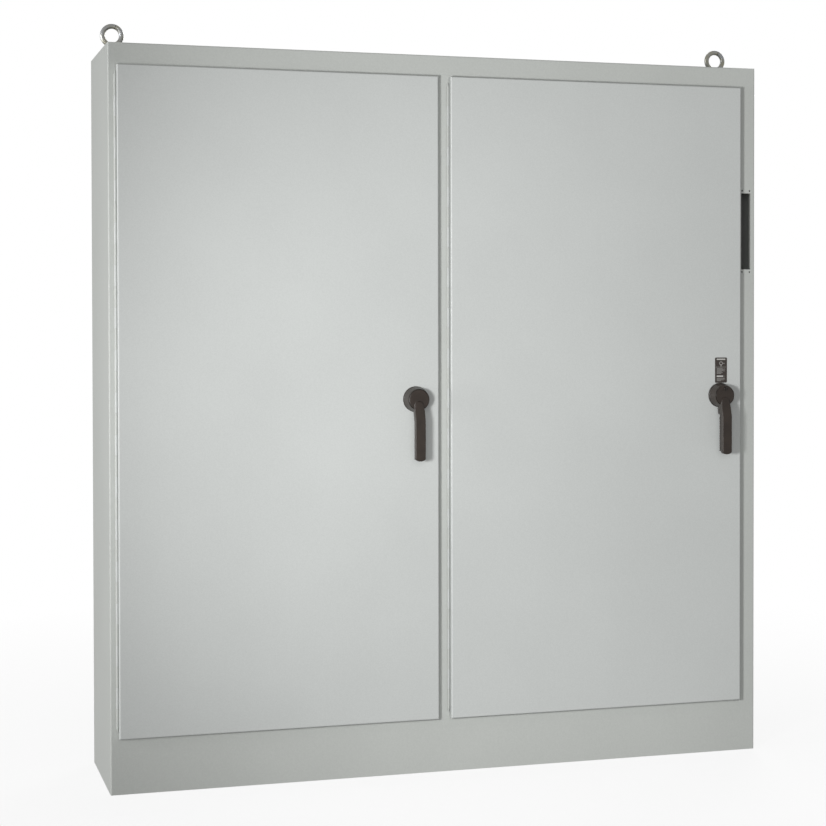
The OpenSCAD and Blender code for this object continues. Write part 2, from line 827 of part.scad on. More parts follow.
module motor_pinion() {
    color("#777b7e") {
        side_view([gear_x - 3, gear_x + 15]) translate([shaft_y, pinion_z])
            polygon([for (i = [0:pinion_teeth - 1]) each tooth(pinion_teeth, 90 + i * 360 / pinion_teeth)]);
        rod_x([gear_x - 16, gear_x - 2], shaft_y, pinion_z, 9);
    }
}

module gear_motor() {
    color("#3c4044") {
        difference() {
            block([gear_x - 76, gear_x - 6], [shaft_y - 36, motor_back], [pinion_z - 42, pinion_z + 42]);
            rod_x([gear_x - 17, gear_x - 5], shaft_y, pinion_z, 9.05);
        }
        rod_x([gear_x - 170, gear_x - 75], shaft_y, pinion_z, 38);
        rod_x([gear_x - 176, gear_x - 169], shaft_y, pinion_z, 30);
    }
}

// Lever keyed to the shaft's right end, with a ball-ended grip
module manual_handle() {
    x = side_plate_x[1] + 30;
    color("#c8251c") difference() {
        union() {
            rod_x([x, x + 18], shaft_y, shaft_z, 24);
            translate([x + 9, shaft_y, shaft_z]) rotate([-half_throw, 0, 0]) rotate([90, 0, 0]) {
                cylinder(r = 8, h = 175);
                translate([0, 0, 90]) cylinder(r = 12, h = 85);
            }
        }
        rod_x([x - 1, x + 19], shaft_y, shaft_z, 14);
    }
}

// A flat bar with two connector holes at its free end, s = 1 up and s = -1 down
module pad_bar(x, y, z, s) {
    end = s > 0 ? z[1] : z[0];
    difference() {
        block([x - bus_w / 2, x + bus_w / 2], [y, y + bus_t], z);
        for (i = [0, 1]) rod_y(x, [y - 1, y + bus_t + 1], end - s * (14 + i * pad_pitch), pad_hole_d / 2);
    }
}

// Contact jaw: two leaves that straddle the blade, drawn for the upper contact
module jaw(x, s) {
    translate([x, 0, shaft_z]) mirror([0, 0, s > 0 ? 0 : 1]) {
        for (sx = [-1, 1])
            side_view([sx * (blade_t / 2 + leaf_gap + leaf_t / 2) - leaf_t / 2,
                sx * (blade_t / 2 + leaf_gap + leaf_t / 2) + leaf_t / 2])
                polygon([[fixed_y + bus_t, 62], [fixed_y + bus_t, 118], [0, 118], [-44, 98], [-48, 84],
                    [-30, 66], [10, 62]]);
    }
}

module normal_terminals() {
    color(copper) for (x = pole_x) {
        difference() {
            pad_bar(x, fixed_y, [shaft_z + 80, normal_pad_top], 1);
            block([x - blade_t / 2 - leaf_gap, x + blade_t / 2 + leaf_gap],
                [fixed_y - 1, fixed_y + bus_t + 1],
                [shaft_z + 70, shaft_z + 95]);
        }
        jaw(x, 1);
    }
}

module emergency_terminals() {
    color(copper) for (x = pole_x) {
        difference() {
            pad_bar(x, fixed_y, [630, shaft_z - 80], -1);
            block([x - blade_t / 2 - leaf_gap, x + blade_t / 2 + leaf_gap],
                [fixed_y - 1, fixed_y + bus_t + 1],
                [shaft_z - 95, shaft_z - 70]);
        }
        jaw(x, -1);
    }
}

// Load bars: a clip either side of each blade's hub, and a bar down behind the emergency contact
module load_terminals() {
    color(copper) for (x = pole_x) {
        pad_bar(x, load_y, [520, shaft_z + 30], -1);
        for (s = [-1, 1]) side_view([x + s * 14.3 - 2, x + s * 14.3 + 2]) difference() {
            union() {
                translate([shaft_y, shaft_z]) circle(30);
                rect([shaft_y, load_y + 1], [shaft_z - 30, shaft_z + 30]);
            }
            translate([shaft_y, shaft_z]) circle(19);
        }
    }
}

// ---- service breaker and busbars ----

module service_breaker() {
    x = [breaker_x - breaker_w / 2, breaker_x + breaker_w / 2];
    z = [breaker_z, breaker_z + breaker_h];
    y = [10, 150];
    color("#33363a") difference() {
        union() {
            block(x, y, z);
            block([x[0] + 25, x[1] - 25], [y[0] - 8, y[0] + 1], [z[0] + 95, z[1] - 95]);
            block([x[0] - 20, x[1] + 20], [y[1], panel_y], [z[0] + 40, z[1] - 40]);
        }
        // handle well, and the terminal wells at both ends
        block([breaker_x - 26, breaker_x + 26], [y[0] - 9, toggle_axis[0] + 10], [z[0] + 120, z[1] - 120]);
        rod_x([breaker_x - 31, breaker_x + 31], toggle_axis[0], toggle_axis[1], 3.05);
        for (px = breaker_poles, e = [[z[0] - 1, z[0] + 48], [z[1] - 48, z[1] + 1]])
            block([px - 28, px + 28], [y[0] - 1, tab_y + bus_t + 12], e);
    }
    color(copper) for (px = breaker_poles) {
        difference() {
            block([px - bus_w / 2, px + bus_w / 2], [tab_y, tab_y + bus_t], [z[1] - 50, z[1] + 76]);
            for (i = [0, 1])
                rod_y(px, [tab_y - 1, tab_y + bus_t + 1], z[1] + 62 - i * pad_pitch, pad_hole_d / 2);
        }
        difference() {
            block([px - bus_w / 2, px + bus_w / 2], [tab_y, tab_y + bus_t], [z[0] - 40, z[0] + 50]);
            rod_y(px, [tab_y - 1, tab_y + bus_t + 1], z[0] - 20, 7.15);
        }
    }
}

toggle_axis = [46, breaker_z + breaker_h / 2];

// Toggle, drawn in the ON position
module breaker_toggle() {
    color("#17191b") {
        rod_x([breaker_x - 30.5, breaker_x + 30.5], toggle_axis[0], toggle_axis[1], 3);
        translate([breaker_x, toggle_axis[0], toggle_axis[1]]) rotate([-15, 0, 0])
            translate([-18, -70, -6]) cube([36, 70, 12]);
    }
}

// One phase from the breaker's lower tab, across at its own level, and down to the normal pad
module phase_bar(i) {
    across = [pole_x[i] - bus_w / 2, breaker_poles[i] + bus_w / 2];
    y = [fixed_y + bus_t, fixed_y + 2 * bus_t];
    level = bus_level[i];
    block(across, y, [level - bus_w / 2, level + bus_w / 2]);
    block([breaker_poles[i] - bus_w / 2, breaker_poles[i] + bus_w / 2], y, [level, breaker_z - 2]);
    block([pole_x[i] - bus_w / 2, pole_x[i] + bus_w / 2], y, [normal_pad_top - 75, level]);
}

// Bolt with head, nut and washers through a joint at y
module bus_bolt(x, y, z) {
    rod_y(x, [y[0] - 12, y[1] + 16], z, 7);
    hex_y(x, [y[0] - 10, y[0] - 2], z, 20);
    rod_y(x, [y[0] - 2, y[0]], z, 13);
    rod_y(x, [y[1], y[1] + 2], z, 13);
    hex_y(x, [y[1] + 2, y[1] + 12], z, 20);
}

module busbars() {
    color(copper) difference() {
        for (i = [0:2]) phase_bar(i);
        for (i = [0:2], j = [0, 1])
            rod_y(pole_x[i], [fixed_y, 80], normal_pad_top - 14 - j * pad_pitch, 7);
        for (x = breaker_poles) rod_y(x, [fixed_y, 80], breaker_z - 20, 7);
    }
    color(zinc) for (i = [0:2], j = [0, 1])
        bus_bolt(pole_x[i], [fixed_y, fixed_y + 2 * bus_t], normal_pad_top - 14 - j * pad_pitch);
    color(zinc) for (x = breaker_poles) bus_bolt(x, [fixed_y + bus_t, tab_y + bus_t], breaker_z - 20);
}

// Ribbed stand-off insulators behind the three levels
module bus_supports() {
    color(glastic) for (x = [-120, 250], z = bus_level) {
        rod_y(x, [fixed_y + 2 * bus_t, panel_y], z, 17);
        for (i = [0:3]) rod_y(x, [72 + 28 * i, 84 + 28 * i], z, 22);
    }
}

// ---- control gear ----

case_x = [-640, -360];
case_z = [1660, 1880];
case_y = [100, panel_y];
button_x = [-440, -400];

module controller_case() {
    color("#d8dad6") difference() {
        union() {
            block(case_x, case_y, case_z);
            front_view([case_y[0] - 4, case_y[0] + 1])
                round_rect([case_x[0] + 10, case_x[1] - 10], [case_z[0] + 10, case_z[1] - 10], 8);
        }
        block([-615, -475], [case_y[0] - 5, case_y[0] - 2], [1760, 1850]);
        for (x = button_x) rod_y(x, [case_y[0] - 5, case_y[0] + 6], 1720, 9.2);
    }
}

module test_button() {
    color("#2d6b3c") rod_y(button_x[0], [case_y[0] - 9, case_y[0] + 3], 1720, 9);
}

module reset_button() {
    color("#8a2a22") rod_y(button_x[1], [case_y[0] - 9, case_y[0] + 3], 1720, 9);
}

module neutral_bar() {
    x = [180, 480];
    z = [560, 610];
    y = 120;
    color(copper) difference() {
        block(x, [y, y + 10], z);
        for (i = [0, 1]) rod_y(x[0] + 30 + i * pad_pitch, [y - 1, y + 11], 585, pad_hole_d / 2);
    }
    color(glastic) for (px = [x[0] + 140, x[1] - 20]) rod_y(px, [y + 10, panel_y], 585, 18);
    color(zinc) for (i = [0:5]) hex_y(x[0] + 165 + 20 * i, [y - 8, y], 585, 12);
}

module ground_bar() {
    color(copper) block([-300, -60], [panel_y - 16, panel_y - 10], [300, 330]);
    color(zinc) for (x = [-280, -80]) rod_y(x, [panel_y - 10, panel_y], 315, 10);
    color(zinc) for (i = [0:7]) hex_y(-260 + 24 * i, [panel_y - 23, panel_y - 16], 315, 11);
}

// Laminated core with a coil on its middle limb, on a foot plate
module control_transformer() {
    x = 700;
    z = 560;
    color("#4a4d50") {
        block([x - 60, x + 60], [120, 170], [z - 50, z + 50]);
        block([x - 75, x + 75], [170, panel_y], [z - 30, z + 30]);
    }
    color("#7a5a2e") block([x - 36, x + 36], [96, 120], [z - 30, z + 30]);
    color("#22262a") block([x - 36, x + 36], [88, 96], [z + 12, z + 30]);
}

left_side_panel();
right_side_panel();
top_panel();
base_panel();
back_panel();
centre_post();
lifting_eyes();
frame_hinge_leaves();
hinge_pins();
mounting_panel();
panel_studs();
left_door();
left_door_gasket();
left_door_hinge_leaf();
left_door_stiffeners();
left_handle_base();
document_pocket();
left_handle();
left_latch_cam();
left_upper_latch_rod();
left_lower_latch_rod();
left_upper_roller();
left_lower_roller();
right_door();
right_door_gasket();
right_door_hinge_leaf();
right_door_stiffeners();
right_handle_base();
instruction_plate();
right_handle();
right_handle_trigger();
interlock_screw();
right_latch_cam();
right_upper_latch_rod();
right_lower_latch_rod();
right_upper_roller();
right_lower_roller();
switch_frame();
pole_bases();
arc_chutes();
shaft_bearings();
main_shaft();
moving_blades();
sector_gear();
motor_pinion();
gear_motor();
manual_handle();
normal_terminals();
emergency_terminals();
load_terminals();
service_breaker();
breaker_toggle();
busbars();
bus_supports();
controller_case();
test_button();
reset_button();
neutral_bar();
ground_bar();
control_transformer();
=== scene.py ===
import math
from collections import namedtuple

import bpy
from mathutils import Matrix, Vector


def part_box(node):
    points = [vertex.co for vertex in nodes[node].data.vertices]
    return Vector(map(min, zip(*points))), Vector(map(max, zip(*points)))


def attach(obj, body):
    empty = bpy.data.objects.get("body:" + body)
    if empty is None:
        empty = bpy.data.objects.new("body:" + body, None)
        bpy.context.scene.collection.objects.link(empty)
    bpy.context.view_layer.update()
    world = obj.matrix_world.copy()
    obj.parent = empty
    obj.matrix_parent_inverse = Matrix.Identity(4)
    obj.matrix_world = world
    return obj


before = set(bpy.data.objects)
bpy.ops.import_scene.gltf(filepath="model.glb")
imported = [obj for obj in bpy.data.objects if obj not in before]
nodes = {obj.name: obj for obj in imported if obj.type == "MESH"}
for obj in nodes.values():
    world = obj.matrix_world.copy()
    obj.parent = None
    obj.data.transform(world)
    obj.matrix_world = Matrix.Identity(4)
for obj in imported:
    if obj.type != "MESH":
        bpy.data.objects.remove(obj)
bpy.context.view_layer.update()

# A two-door floor-standing transfer switch cabinet: its finishes, the small parts that are
# only looks, the studio and the camera. Lengths are in metres.

scene = bpy.context.scene


# ---------------------------------------------------------------- building a finish

def tint(red, green, blue):
    """A paint-chart colour, 0 to 255 a channel, as the shader's own numbers."""
    channels = [c / 255 for c in (red, green, blue)]
    return tuple(c / 12.92 if c < 0.04045 else ((c + 0.055) / 1.055) ** 2.4 for c in channels) + (1,)


class Value:
    """One output of a graph's nodes. Arithmetic on it adds Math nodes."""

    def __init__(self, graph, socket):
        self.graph, self.socket = graph, socket

    def maths(self, operation, first, second):
        return self.graph.node("ShaderNodeMath", {"operation": operation}, {0: first, 1: second})

    def __add__(self, other):
        return self.maths("ADD", self, other)

    def __sub__(self, other):
        return self.maths("SUBTRACT", self, other)

    def __rsub__(self, other):
        return self.maths("SUBTRACT", other, self)

    def __mul__(self, other):
        return self.maths("MULTIPLY", self, other)

    def __rmul__(self, other):
        return self.maths("MULTIPLY", other, self)

    def __truediv__(self, other):
        return self.maths("DIVIDE", self, other)

    def __pow__(self, other):
        return self.maths("POWER", self, other)

    def __gt__(self, other):
        return self.maths("GREATER_THAN", self, other)

    def __lt__(self, other):
        return self.maths("LESS_THAN", self, other)

    def between(self, low, high):
        """1 from low to high, 0 outside."""
        return (self > low) * (self < high)

    def held(self, low, high):
        """Stretched so that low becomes 0 and high becomes 1, and held there."""
        return self.graph.node("ShaderNodeMapRange", {"clamp": True},
                                {"Value": self, "From Min": low, "From Max": high})


class Graph:
    """A tree of nodes: a material's, the room's or an edge rule's."""

    def __init__(self, tree):
        self.tree = tree
        tree.nodes.clear()

    def node(self, kind, settings, sockets, out=0):
        """Adds a node: its settings first, then its sockets' values or links."""
        made = self.tree.nodes.new(kind)
        for name, value in settings.items():
            setattr(made, name, value)
        for name, value in sockets.items():
            if isinstance(value, Value):
                self.tree.links.new(value.socket, made.inputs[name])
            else:
                made.inputs[name].default_value = value
        return Value(self, made.outputs[out]) if made.outputs else None


class Finish(Graph):
    """One material, made node by node."""

    def __init__(self, name):
        self.material = bpy.data.materials.new(name)
        self.material.use_nodes = True
        super().__init__(self.material.node_tree)
        self.place = self.node("ShaderNodeTexCoord", {}, {}, "Object")

    def noise(self, size, detail=2.0, place=None):
        """Soft blotches about size metres across."""
        return self.node("ShaderNodeTexNoise", {},
                         {"Vector": place or self.place, "Scale": 1 / size, "Detail": detail})

    def cells(self, size, out="Distance"):
        """Round grains about size metres apart."""
        return self.node("ShaderNodeTexVoronoi", {}, {"Vector": self.place, "Scale": 1 / size}, out)

    def stretched(self, x=1.0, y=1.0, z=1.0):
        """The place, squeezed along each axis, for brush marks and drawing lines."""
        return self.node("ShaderNodeMapping", {}, {"Vector": self.place, "Scale": (x, y, z)})

    def axes(self):
        """The place's x, y and z."""
        return [self.node("ShaderNodeSeparateXYZ", {}, {"Vector": self.place}, axis)
                for axis in "XYZ"]

    def blend(self, amount, first, second):
        """first where amount is 0, second where it is 1."""
        return self.node("ShaderNodeMix", {"data_type": "RGBA"},
                         {0: amount, 6: first, 7: second}, 2)

    def relief(self, height):
        """A bump with its height in metres."""
        return self.node("ShaderNodeBump", {}, {"Height": height, "Distance": 1.0})

    def surface(self, **sockets):
        """The shader itself. Spaces in socket names are written as underscores."""
        shader = self.node("ShaderNodeBsdfPrincipled", {},
                           {name.replace("_", " "): value for name, value in sockets.items()})
        self.node("ShaderNodeOutputMaterial", {}, {"Surface": shader})
        return self.material


# ---------------------------------------------------------------- what the parts are made of
# Each of these adds its nodes to a finish and returns a Look. Heights are in metres.

Look = namedtuple("Look", "colour metallic roughness height")


def scaled(colour, by, lift=0.0):
    """A colour made paler or darker."""
    return tuple(min(c * by + lift, 1) for c in colour[:3]) + (1,)


def powder_coat(f, colour, roughness=0.42, peel=0.00002):
    """Stoved powder paint: fine orange peel, faint clouding and speckle."""
    cloud, speckle, skin = f.noise(0.5, 3), f.noise(0.004, 2), f.noise(0.0016, 1)
    shade = (cloud * 0.5 + speckle * 0.5).held(0.35, 0.65)
    return Look(f.blend(shade, scaled(colour, 0.955), scaled(colour, 1.04)), 0.0,
                cloud * 0.08 + (roughness - 0.04), skin * peel)


def cast_enamel(f, colour, roughness=0.38):
    """A die casting with a baked-on dark coat, rubbed a little paler in patches."""
    cloud, grain = f.noise(0.03, 3), f.noise(0.0011, 2)
    return Look(f.blend(cloud.held(0.4, 0.75), colour, scaled(colour, 1.35)), 0.0,
                cloud * 0.14 + roughness - 0.07, grain * 0.00003)


def plated_zinc(f):
    """Bright zinc plate: bluish grey with a straw tinge and faint spangle."""
    cloud, spangle = f.noise(0.02, 3), f.cells(0.0035)
    colour = f.blend(cloud.held(0.35, 0.7), tint(196, 199, 204), tint(190, 186, 164))
    return Look(colour, 1.0, spangle * 0.08 + cloud * 0.1 + 0.34, f.noise(0.0015, 2) * 0.00001)


def galvanised(f):
    """Galvanised frame steel: large dull spangle."""
    grey = f.node("ShaderNodeSeparateColor", {}, {0: f.cells(0.012, out="Color")})
    return Look(f.blend(grey, tint(150, 154, 156), tint(182, 186, 188)), 0.85,
                grey * 0.15 + 0.38, f.noise(0.002, 2) * 0.00001)


def drawn_copper(f):
    """Bare busbar copper: drawing lines along its length and patchy tarnish."""
    lines = f.noise(0.0006, 2, f.stretched(z=0.04))
    tarnish = f.noise(0.06, 4).held(0.42, 0.72)
    bright = f.blend(lines, tint(206, 134, 102), tint(222, 156, 120))
    return Look(f.blend(tarnish, bright, tint(158, 96, 70)), 1.0,
                lines * 0.12 + tarnish * 0.14 + 0.24, lines * 0.000012)


def machined(f, colour=(0.42, 0.42, 0.41, 1)):
    """Turned or hobbed steel: fine tool marks under a film of oil."""
    marks = f.noise(0.0005, 1, f.stretched(x=0.05))
    stain = f.noise(0.025, 3).held(0.45, 0.75)
    return Look(f.blend(stain, colour, scaled(colour, 0.72)), 1.0,
                marks * 0.15 + stain * 0.1 + 0.25, marks * 0.00001)


def sintered_bronze(f):
    """Oil-soaked bronze bushings: tiny dark pores."""
    pores = f.cells(0.0009).held(0.1, 0.45)
    return Look(f.blend(pores, tint(96, 66, 36), tint(176, 132, 74)), 1.0,
                0.5 - pores * 0.15, pores * 0.00002)


def moulding(f, colour, roughness=0.5):
    """Moulded plastic with a spark-eroded grain."""
    cloud, pits = f.noise(0.05, 2), f.noise(0.0008, 2)
    return Look(f.blend(cloud.held(0.35, 0.7), colour, scaled(colour, 1.12, 0.004)), 0.0,
                pits * 0.12 + roughness - 0.06, pits * 0.00002)


def glass_polyester(f, colour):
    """Moulded glass-polyester: short fibres showing through the resin."""
    fibres = f.noise(0.0012, 3, f.stretched(x=0.25)) * 0.6 + f.noise(0.01, 2) * 0.4
    return Look(f.blend(fibres.held(0.42, 0.66), colour, scaled(colour, 1.3, 0.01)), 0.0,
                fibres * 0.2 + 0.32, fibres * 0.00003)


def fibre_board(f):
    """Vulcanised fibre plates of the arc chutes, sooted in places."""
    weave = f.noise(0.0015, 3, f.stretched(z=0.3))
    soot = f.noise(0.04, 3).held(0.5, 0.8)
    board = f.blend(weave, tint(168, 158, 138), tint(196, 188, 170))
    return Look(f.blend(soot, board, tint(112, 104, 92)), 0.0, weave * 0.15 + 0.62, weave * 0.00005)


def cellular_foam(f):
    """Closed-cell gasket foam."""
    bubbles = f.cells(0.0011)
    return Look(f.blend(bubbles.held(0.1, 0.6), tint(34, 34, 35), tint(64, 64, 66)), 0.0,
                0.9 - bubbles * 0.1, bubbles * 0.00015)


def wound_tape(f):
    """Varnished tape round the transformer's coil."""
    turns = f.noise(0.003, 2, f.stretched(x=0.05, y=0.3))
    return Look(f.blend(turns, tint(92, 66, 34), tint(142, 108, 60)), 0.0,
                turns * 0.15 + 0.3, turns * 0.0002)


def blackened(f):
    """Blackened screws."""
    cloud = f.noise(0.006, 3)
    return Look(f.blend(cloud, tint(52, 50, 48), tint(86, 82, 78)), 0.9,
                cloud * 0.2 + 0.3, f.noise(0.0008, 1) * 0.00001)


def printed(f, low, high, marks, ground, ink, front):
    """A flat printed face. marks are (left, right, bottom, top, strength) as parts of the face."""
    x, y, z = f.axes()
    across, up = (x - low[0]) / (high[0] - low[0]), (z - low[2]) / (high[2] - low[2])
    print_on = 0.0
    for left, right, bottom, top, strength in marks:
        print_on = across.between(left, right) * up.between(bottom, top) * strength + print_on
    face = f.noise(0.004, 2)
    shown = print_on * (y < front)
    return across, up, shown, Look(f.blend(shown, ground, ink), 0.0,
                                    face * 0.12 + 0.34, face * 0.00001)


# Bars that stand for print on the plate over the right handle: heading, rule, lines, second
# heading, lines. No lettering.
PLATE_MARKS = [(0.14, 0.86, 0.905, 0.955, 0.8), (0.05, 0.95, 0.615, 0.628, 0.45),
               (0.14, 0.68, 0.235, 0.285, 0.95), (0.76, 0.84, 0.25, 0.27, 0.3)]
PLATE_MARKS += [(0.14, right, up, up + 0.018, 0.42) for up, right in (
    (0.565, 0.62), (0.530, 0.86), (0.495, 0.70), (0.460, 0.82), (0.425, 0.58), (0.390, 0.64),
    (0.355, 0.52), (0.175, 0.80), (0.140, 0.84), (0.105, 0.72), (0.07, 0.5))]

PLATE_GROUND, PLATE_INK = tint(62, 56, 52), tint(210, 210, 206)

DISPLAY_MARKS = [(0.08, 0.62, 0.70, 0.78, 1.0), (0.08, 0.44, 0.52, 0.57, 1.0),
                 (0.08, 0.52, 0.36, 0.41, 1.0), (0.08, 0.38, 0.20, 0.25, 1.0),
                 (0.72, 0.90, 0.18, 0.28, 1.0), (0.72, 0.90, 0.38, 0.48, 1.0),
                 (0.72, 0.90, 0.58, 0.78, 0.5)]


def finish_of(name, look, *looks, **sockets):
    """A finished material. Each further look is (mask, look) and lies over those before it."""
    f = Finish(name)
    under = look(f)
    for mask, top in looks:
        m, over = mask(f), top(f)
        under = Look(f.blend(m, under.colour, over.colour),
                     over.metallic * m + under.metallic * (1 - m),
                     over.roughness * m + under.roughness * (1 - m),
                     over.height * m + under.height * (1 - m))
    return f.surface(Base_Color=under.colour, Metallic=under.metallic, Roughness=under.roughness,
                     Normal=f.relief(under.height), **sockets)


def instruction_print(f):
    """The dark plate over the right handle, with a handle pictogram between its bars."""
    low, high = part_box("instruction_plate")
    across, up, shown, look = printed(f, low, high, PLATE_MARKS, PLATE_GROUND, PLATE_INK,
                                      low[1] + 0.0003)
    knob_x, knob_z = across - 0.5, (up - 0.77) * 1.96
    ring = (knob_x * knob_x + knob_z * knob_z).between(0.010, 0.022)
    lever = knob_x.between(-0.03, 0.03) * knob_z.between(-0.26, -0.1)
    sign = ring + lever + knob_x.between(0.17, 0.30) * knob_z.between(-0.02, 0.02)
    ink = (shown + sign * 0.5).held(0, 1)
    return look._replace(colour=f.blend(ink, PLATE_GROUND, PLATE_INK))


def display_print(f):
    """The controller's display: plain bars and blocks."""
    return printed(f, *DISPLAY, DISPLAY_MARKS, tint(146, 164, 138), tint(42, 52, 44), 1)[-1]


def ahead_of(y):
    """The part of a piece in front of y."""
    return lambda f: f.axes()[1] < y


def behind(y):
    """The part of a piece behind y."""
    return lambda f: f.axes()[1] > y


def shaft_ends(f):
    """The round journals at both ends of the square shaft."""
    x = f.axes()[0]
    return 1 - x.between(-0.7198, -0.2802)


def lever_stem(f):
    """The manual lever's hub and stem, up to its grip."""
    x, y, z = f.axes()
    off_y, off_z = y - 0.07, z - 0.94
    return (off_y * off_y + off_z * off_z) < 0.089 ** 2


def breaker_tabs(f):
    """The copper tabs that stand out of the breaker's two ends."""
    x, y, z = f.axes()
    (low, high), middle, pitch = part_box("service_breaker"), 0.56, 0.07
    inside = 0.0
    for pole in (-1, 0, 1):
        inside = x.between(middle + pole * pitch - 0.0202, middle + pole * pitch + 0.0202) + inside
    return inside * y.between(0.0558, 0.0642) * (1 - z.between(1.5501, 1.7799))


def eye_joint(f):
    """The butt joint of each lifting eye's ring, just past its top."""
    x, y, z = f.axes()
    out, up = x - 0.959 * (x > 0) + 0.959 * (x < 0), z - 2.186
    return (out * 0.94 - up * 0.342).between(-0.0007, 0.0007) * (up > 0)


def shadowed_zinc(f):
    return plated_zinc(f)._replace(colour=tint(70, 66, 52))


CABINET = tint(194, 197, 193)
DOOR = tint(201, 204, 202)
DISPLAY = ((-0.609, 0.09, 1.766), (-0.481, 0.1, 1.844))


def painted(name, colour, *rest):
    return finish_of(name, lambda f: powder_coat(f, colour, *rest))


def moulded(name, colour, *rest):
    return finish_of(name, lambda f: moulding(f, colour, *rest))


def cast(name, colour, *rest):
    return finish_of(name, lambda f: cast_enamel(f, colour, *rest))


def glastic(f):
    return glass_polyester(f, tint(150, 52, 38))


finishes = {
    "cabinet_paint": painted("cabinet_paint", CABINET),
    "door_paint": painted("door_paint", DOOR),
    "white_enamel": painted("white_enamel", tint(226, 227, 224), 0.34, 0.00001),
    "zinc_plate": finish_of("zinc_plate", plated_zinc),
    "eye_zinc": finish_of("eye_zinc", plated_zinc, (eye_joint, shadowed_zinc)),
    "frame_steel": finish_of("frame_steel", galvanised),
    "handle_brown": cast("handle_brown", tint(47, 40, 35)),
    # The base ring and the trigger: the handle's cast coat, duller, and darker than the handle as
    # painted shade round the hub's foot and behind the grip.
    "handle_base_brown": cast("handle_base_brown", tint(40, 34, 30), 0.45),
    "instruction_print": finish_of("instruction_print", instruction_print),
    "gasket_foam": finish_of("gasket_foam", cellular_foam),
    "roller_nylon": moulded("roller_nylon", tint(222, 219, 206), 0.45),
    "bushing_bronze": finish_of("bushing_bronze", sintered_bronze),
    "shaft_glastic": finish_of("shaft_glastic", glastic, (shaft_ends, plated_zinc)),
    "pole_polyester": finish_of("pole_polyester", lambda f: glass_polyester(f, tint(122, 44, 34))),
    "chute_fibre": finish_of("chute_fibre", fibre_board),
    "bar_copper": finish_of("bar_copper", drawn_copper),
    "busbar_copper": finish_of("busbar_copper", drawn_copper, (ahead_of(0.0478), plated_zinc),
                               (behind(0.0562), plated_zinc)),
    "neutral_copper": finish_of("neutral_copper", drawn_copper, (ahead_of(0.1198), plated_zinc),
                                (behind(0.1302), glastic)),
    "ground_copper": finish_of("ground_copper", drawn_copper, (ahead_of(0.1738), plated_zinc),
                               (behind(0.1802), plated_zinc)),
    "gear_steel": finish_of("gear_steel", machined),
    "motor_grey": painted("motor_grey", tint(92, 97, 102), 0.4),
    "lever_red": finish_of("lever_red", lambda f: moulding(f, tint(168, 30, 24), 0.4),
                           (lever_stem, plated_zinc)),
    "breaker_black": finish_of("breaker_black", lambda f: moulding(f, tint(40, 41, 43), 0.48),
                               (breaker_tabs, drawn_copper)),
    "case_grey": moulded("case_grey", tint(206, 208, 204), 0.45),
    "toggle_black": moulded("toggle_black", tint(26, 26, 27), 0.4),
    "button_green": moulded("button_green", tint(36, 132, 66), 0.35),
    "button_red": moulded("button_red", tint(176, 34, 28), 0.35),
    "support_red": finish_of("support_red", glastic),
    "transformer": finish_of("transformer", lambda f: machined(f, (0.16, 0.16, 0.17, 1)),
                             (ahead_of(0.1199), wound_tape),
                             (ahead_of(0.0961), lambda f: moulding(f, tint(34, 38, 42)))),
    "black_screw": finish_of("black_screw", blackened),
    "display_glass": finish_of("display_glass", display_print, Coat_Weight=0.7),
}


# ---------------------------------------------------------------- the carried-over parts

# Edges that turn by more than this are sharp, and get rounded
SHARP = math.radians(32)


def shape_group(name):
    """An empty shape group, with what comes in."""
    tree = bpy.data.node_groups.new(name, "GeometryNodeTree")
    for way in ("INPUT", "OUTPUT"):
        tree.interface.new_socket("Geometry", in_out=way, socket_type="NodeSocketGeometry")
    graph = Graph(tree)
    return graph, graph.node("NodeGroupInput", {}, {})


def even_shading():
    """Marks every face smooth, so that the weighted normals can work."""
    graph, shape = shape_group("even_shading")
    smooth = graph.node("GeometryNodeSetShadeSmooth", {}, {0: shape})
    graph.node("NodeGroupOutput", {}, {0: smooth})
    return graph.tree


# The right handle's spindle, and the x, z and radius of its screw's well
SPINDLE, WELL, WELL_RADIUS = 0.868, (0.871, 1.138), 0.0062


def finer_edges():
    """Rounds the right handle's edges less round its screw's well and at its trigger's ears."""
    graph, shape = shape_group("finer_edges")
    place = graph.node("GeometryNodeInputPosition", {}, {})
    x, y, z = [graph.node("ShaderNodeSeparateXYZ", {}, {"Vector": place}, axis) for axis in "XYZ"]
    off_x, off_z = x - WELL[0], z - WELL[1]
    clear = ((off_x * off_x + off_z * off_z) ** 0.5 - WELL_RADIUS) / 0.012
    aside = ((x - SPINDLE) * (x - SPINDLE)) ** 0.5
    at_ears = z.between(1.056, 1.0995) * (y > -0.2945) * (1 - aside.held(0.013, 0.021))
    share = graph.node("ShaderNodeMapRange", {"clamp": True},
                       {"Value": clear, "To Min": 0.12}) * (1 - at_ears * 0.75)
    sharp = graph.node("GeometryNodeInputMeshEdgeAngle", {}, {}, "Signed Angle") > SHARP
    kept = graph.node("GeometryNodeStoreNamedAttribute", {"domain": "EDGE", "data_type": "FLOAT"},
                      {"Geometry": shape, "Name": "bevel_weight_edge", "Value": share * sharp})
    graph.node("NodeGroupOutput", {}, {0: kept})
    return graph.tree


SHADING, FINER = even_shading(), finer_edges()


def ease_edges(part, width, finer=None):
    """Rounds a part's sharp edges by width, as deburring, casting or paint does."""
    part.modifiers.new("join", "WELD").merge_threshold = 0.00001
    flat = part.modifiers.new("flat", "DECIMATE")
    flat.decimate_type, flat.angle_limit = "DISSOLVE", math.radians(0.3)
    if finer:
        part.modifiers.new("finer", "NODES").node_group = finer
    if width:
        edge = part.modifiers.new("edge", "BEVEL")
        edge.limit_method, edge.angle_limit = "WEIGHT" if finer else "ANGLE", SHARP
        edge.width, edge.segments, edge.use_clamp_overlap = width, 2, False
        part.modifiers.new("shading", "NODES").node_group = SHADING
        part.modifiers.new("normals", "WEIGHTED_NORMAL").keep_sharp = False


